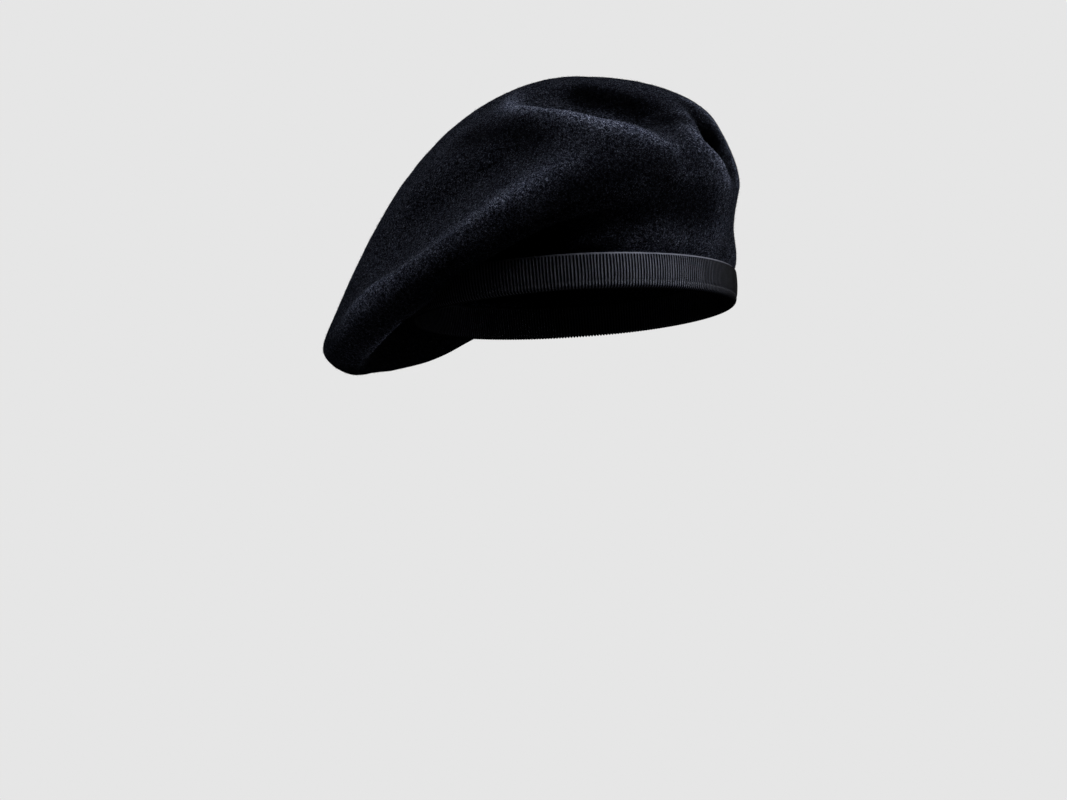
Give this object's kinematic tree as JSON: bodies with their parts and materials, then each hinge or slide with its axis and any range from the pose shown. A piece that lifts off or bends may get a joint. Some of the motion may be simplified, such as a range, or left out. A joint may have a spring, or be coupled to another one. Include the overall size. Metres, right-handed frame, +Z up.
{
  "type": "basque beret",
  "caption": "Felt beret in worn form, crown folded over to one side, with a ribbed ribbon bound round its open head opening.",
  "frame": {"origin": "centre of the head opening, in the plane of the ribbon's lower edge", "axes": "+Z up; the wearer's face looks along -Y; the wearer's left is +X, so the crown falls over towards -X"},
  "size_m": [0.2162, 0.2311, 0.1583],
  "materials": {
    "felt": "fulled wool felt, dark navy, short nap",
    "grosgrain": "ribbed ribbon, nearly black, soft sheen"
  },
  "bodies": {
    "root": {"crown": "felt", "ribbon_band": "grosgrain"}
  },
  "joints": []
}
